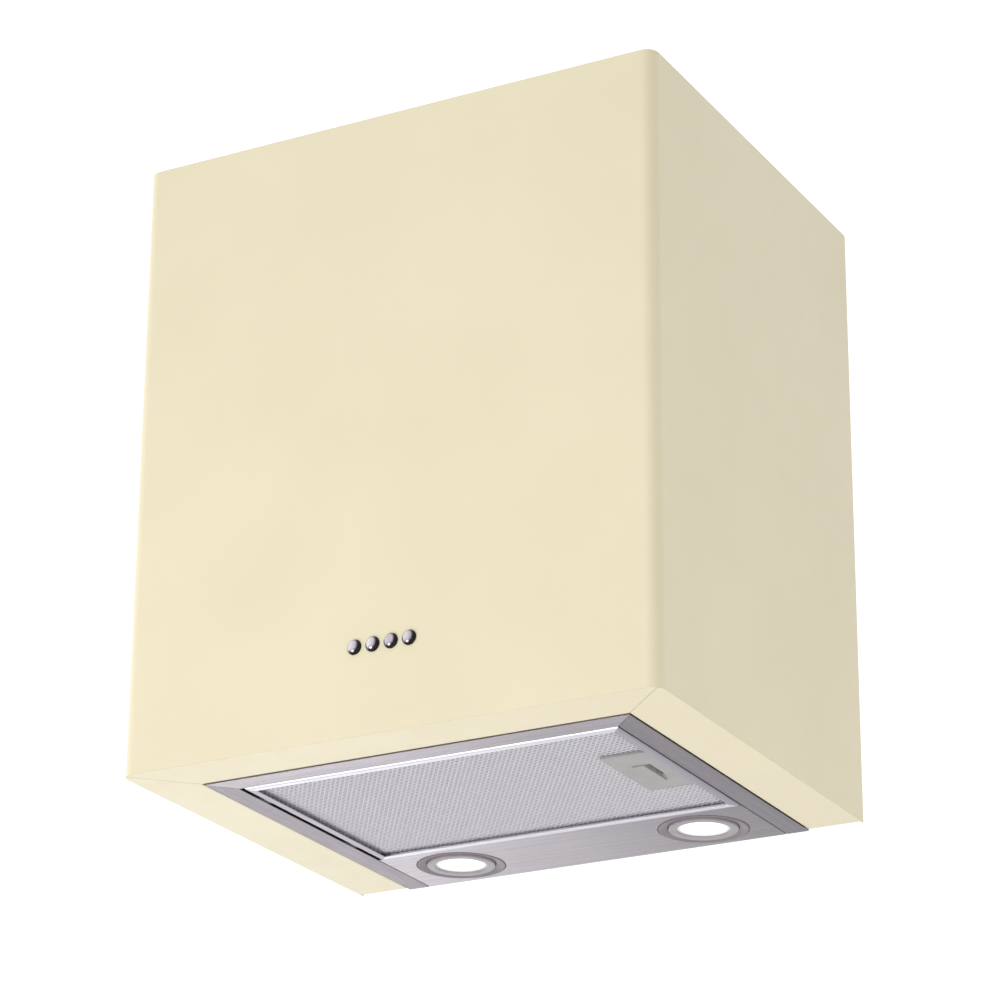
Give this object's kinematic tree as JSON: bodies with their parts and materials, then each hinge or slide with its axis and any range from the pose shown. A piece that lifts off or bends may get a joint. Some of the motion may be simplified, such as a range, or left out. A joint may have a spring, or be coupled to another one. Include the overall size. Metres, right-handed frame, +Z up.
{
  "type": "range hood",
  "caption": "Wall-hung cube range hood: cream steel casing, stainless insert with drop-down mesh filter, lit lamps, push buttons, centrifugal blower and round top outlet with flaps.",
  "frame": {"origin": "centre of the four wall holes, in the wall plane at the back panel", "axes": "+X to the right seen from the front, +Y towards the wall, +Z up"},
  "size_m": [0.4, 0.3232, 0.4994],
  "materials": {
    "cream_paint": "satin powder coat",
    "galvanised": "dull zinc",
    "stainless": "brushed",
    "filter_aluminium": "bright rolled",
    "mesh_aluminium": "expanded sheet",
    "grey_plastic": "matt moulded",
    "spring_steel": "bright wire",
    "lamp_grey": "satin grey",
    "lamp_ring": "satin",
    "lamp_glass": "frosted, lit",
    "bright_aluminium": "plain",
    "black_plastic": "moulded",
    "white_plastic": "moulded",
    "winding": "enamelled windings and core",
    "rubber": "soft",
    "lead_cover": "flexible cover",
    "screw_zinc": "zinc plated",
    "chrome": "polished"
  },
  "bodies": {
    "housing": {"air_box": "galvanised", "back_panel": "galvanised", "blower_scroll": "black_plastic", "button_guide": "black_plastic", "button_spring_1": "spring_steel", "button_spring_2": "spring_steel", "button_spring_3": "spring_steel", "button_spring_4": "spring_steel", "cable_gland": "black_plastic", "capacitor": "white_plastic", "capacitor_clamp": "galvanised", "casing_screws": "screw_zinc", "electrical_box": "black_plastic", "electrical_lid": "black_plastic", "flap_pins": "spring_steel", "gland_nut": "black_plastic", "inner_leads": "lead_cover", "insert_brackets": "galvanised", "insert_frame": "stainless", "lamp_bezels": "lamp_grey", "lamp_bulbs": "lamp_glass", "lamp_cans": "bright_aluminium", "lamp_driver": "white_plastic", "lamp_panel": "stainless", "motor_bearings": "spring_steel", "motor_body": "bright_aluminium", "motor_bracket": "galvanised", "motor_grommets": "rubber", "motor_screws": "screw_zinc", "motor_stator": "winding", "outer_casing": "cream_paint", "outlet_collar": "black_plastic", "outlet_duct": "black_plastic", "pivot_saddles": "galvanised", "scroll_cover": "black_plastic", "sheet_screws": "screw_zinc", "switch_block": "black_plastic", "terminal_block": "white_plastic", "top_panel": "cream_paint"},
    "filter": {"filter_frame": "filter_aluminium", "filter_mesh_lower": "mesh_aluminium", "filter_mesh_upper": "mesh_aluminium", "filter_media": "mesh_aluminium", "filter_pivots": "filter_aluminium", "latch_plate": "grey_plastic", "latch_spring": "spring_steel"},
    "latch": {"latch_slider": "grey_plastic"},
    "lamp_cover_left": {"lamp_ring_left": "lamp_ring", "lamp_lens_left": "lamp_glass"},
    "lamp_cover_right": {"lamp_ring_right": "lamp_ring", "lamp_lens_right": "lamp_glass"},
    "flap_left": {"flap_left": "black_plastic"},
    "flap_right": {"flap_right": "black_plastic"},
    "fan": {"impeller": "black_plastic", "motor_shaft": "spring_steel", "motor_rotor": "bright_aluminium"},
    "button_1": {"button_1": "chrome"},
    "button_2": {"button_2": "chrome"},
    "button_3": {"button_3": "chrome"},
    "button_4": {"button_4": "chrome"}
  },
  "joints": [
    {"name": "filter_tilt", "type": "hinge", "parent": "housing", "child": "filter", "pos_m": [-0.1412, -0.16, -0.2475], "axis": [0, 1, 0], "range_deg": [0, 60]},
    {"name": "latch_slide", "type": "slide", "parent": "filter", "child": "latch", "axis": [-1, 0, 0], "range_m": [0, 0.0048], "stiffness_N_per_m": 250, "springref_m": -0.004, "deforming": ["latch_spring"]},
    {"name": "lamp_cover_left_pull", "type": "slide", "parent": "housing", "child": "lamp_cover_left", "axis": [0, 0, -1], "range_m": [0, 0.03]},
    {"name": "lamp_cover_right_pull", "type": "slide", "parent": "housing", "child": "lamp_cover_right", "axis": [0, 0, -1], "range_m": [0, 0.03]},
    {"name": "flap_left_swing", "type": "hinge", "parent": "housing", "child": "flap_left", "pos_m": [-0.004, -0.132, 0.182], "axis": [0, 1, 0], "range_deg": [0, 75]},
    {"name": "flap_right_swing", "type": "hinge", "parent": "housing", "child": "flap_right", "pos_m": [0.004, -0.132, 0.182], "axis": [0, -1, 0], "range_deg": [0, 75]},
    {"name": "fan_spin", "type": "hinge", "parent": "housing", "child": "fan", "pos_m": [0, -0.18525, 0.03], "axis": [1, 0, 0], "continuous": true},
    {"name": "button_1_press", "type": "slide", "parent": "housing", "child": "button_1", "axis": [0, 1, 0], "range_m": [0, 0.002], "stiffness_N_per_m": 600, "springref_m": -0.0015, "deforming": ["button_spring_1"]},
    {"name": "button_2_press", "type": "slide", "parent": "housing", "child": "button_2", "axis": [0, 1, 0], "range_m": [0, 0.002], "stiffness_N_per_m": 600, "springref_m": -0.0015, "deforming": ["button_spring_2"]},
    {"name": "button_3_press", "type": "slide", "parent": "housing", "child": "button_3", "axis": [0, 1, 0], "range_m": [0, 0.002], "stiffness_N_per_m": 600, "springref_m": -0.0015, "deforming": ["button_spring_3"]},
    {"name": "button_4_press", "type": "slide", "parent": "housing", "child": "button_4", "axis": [0, 1, 0], "range_m": [0, 0.002], "stiffness_N_per_m": 600, "springref_m": -0.0015, "deforming": ["button_spring_4"]}
  ]
}
